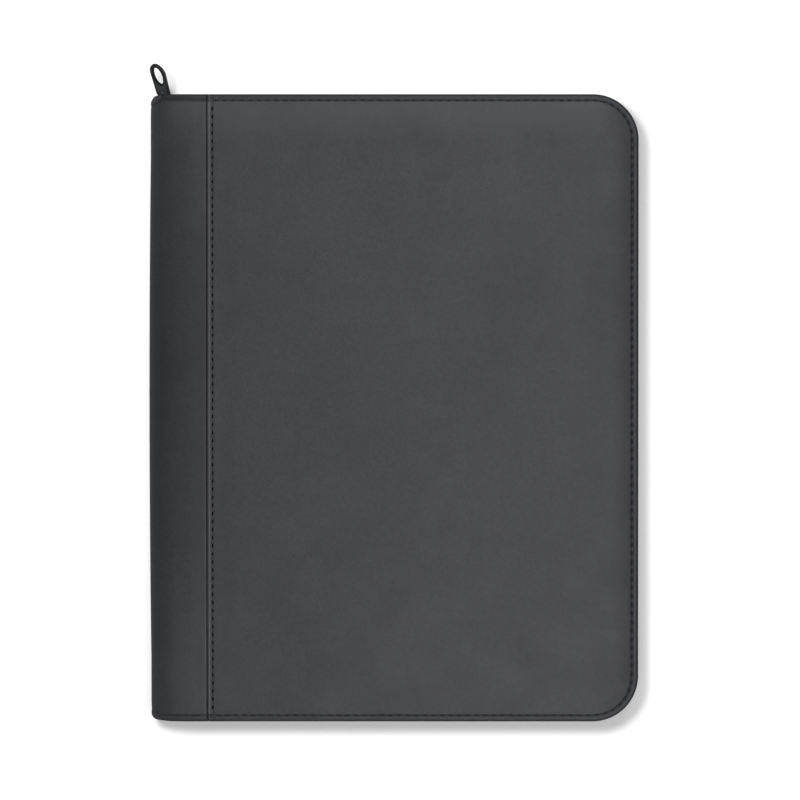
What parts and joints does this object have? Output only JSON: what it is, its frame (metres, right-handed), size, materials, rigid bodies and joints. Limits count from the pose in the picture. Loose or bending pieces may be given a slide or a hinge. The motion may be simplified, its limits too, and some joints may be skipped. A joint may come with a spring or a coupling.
{
  "type": "zippered padfolio",
  "caption": "Zip-around letter-size padfolio with a rounded spine, padded covers, inside pockets, pen loop and writing pad.",
  "frame": {"origin": "middle of the back cover's flat rest face, with the case lying closed on it", "axes": "+X from the spine to the opening edge, +Y along the spine to the zip pull, +Z out of the front cover"},
  "size_m": [0.2675, 0.3601, 0.0276],
  "materials": {
    "cover_leather": "matte",
    "pocket_leather": "matte",
    "lining_fabric": "matte",
    "foam": "matte",
    "board": "matte",
    "zip_tape": "matte",
    "zip_teeth": "satin",
    "zip_metal": "satin",
    "elastic": "matte",
    "paper": "matte",
    "backing_card": "matte",
    "binding": "matte"
  },
  "bodies": {
    "back_cover": {"back_panel": "cover_leather", "back_foam": "foam", "back_board": "board", "back_lining": "lining_fabric", "back_zip_tape": "zip_tape", "back_zip_teeth": "zip_teeth", "back_zip_stop": "zip_metal", "spine_strip_back": "cover_leather", "pad_pocket": "pocket_leather", "pen_loop": "elastic"},
    "spine": {"spine_strip": "cover_leather", "spine_stiffener": "board", "spine_lining": "lining_fabric", "zip_end_top": "zip_tape", "zip_end_bottom": "zip_tape"},
    "front_cover": {"front_panel": "cover_leather", "front_foam": "foam", "front_board": "board", "front_lining": "lining_fabric", "front_zip_tape": "zip_tape", "front_zip_teeth": "zip_teeth", "front_zip_stop": "zip_metal", "spine_strip_front": "cover_leather", "document_pocket": "pocket_leather", "card_pocket_lower": "pocket_leather", "card_pocket_upper": "pocket_leather", "phone_pocket": "pocket_leather"},
    "pad": {"pad_backing": "backing_card", "pad_sheets": "paper", "pad_binding": "binding"},
    "slider": {"slider_body": "zip_metal"},
    "link": {"pull_link": "zip_metal"},
    "tab": {"pull_tab": "zip_metal"}
  },
  "joints": [
    {"name": "spine_hinge", "type": "hinge", "parent": "back_cover", "child": "spine", "pos_m": [-0.12855, 0, 0.00513], "axis": [0, -1, 0], "range_deg": [0, 90]},
    {"name": "cover_hinge", "type": "hinge", "parent": "spine", "child": "front_cover", "pos_m": [-0.12855, 0, 0.01987], "axis": [0, -1, 0], "range_deg": [0, 90]},
    {"name": "zip_slide", "type": "slide", "parent": "back_cover", "child": "slider", "axis": [1, 0, 0], "range_m": [0, 0.224], "deforming": ["front_zip_teeth", "back_zip_teeth"]},
    {"name": "link_swing", "type": "hinge", "parent": "slider", "child": "link", "pos_m": [-0.12625, 0.16905, 0.0125], "axis": [1, 0, 0], "range_deg": [-45, 12]},
    {"name": "tab_swing", "type": "hinge", "parent": "link", "child": "tab", "pos_m": [-0.12625, 0.17212, 0.01465], "axis": [0, -0.5736, 0.8192], "range_deg": [-45, 20]},
    {"name": "pad_slide", "type": "slide", "parent": "back_cover", "child": "pad", "axis": [0, 1, 0], "range_m": [0, 0.024]}
  ],
  "couplings": [
    {"joint": "spine_hinge", "follows": "cover_hinge", "ratio": 1}
  ]
}
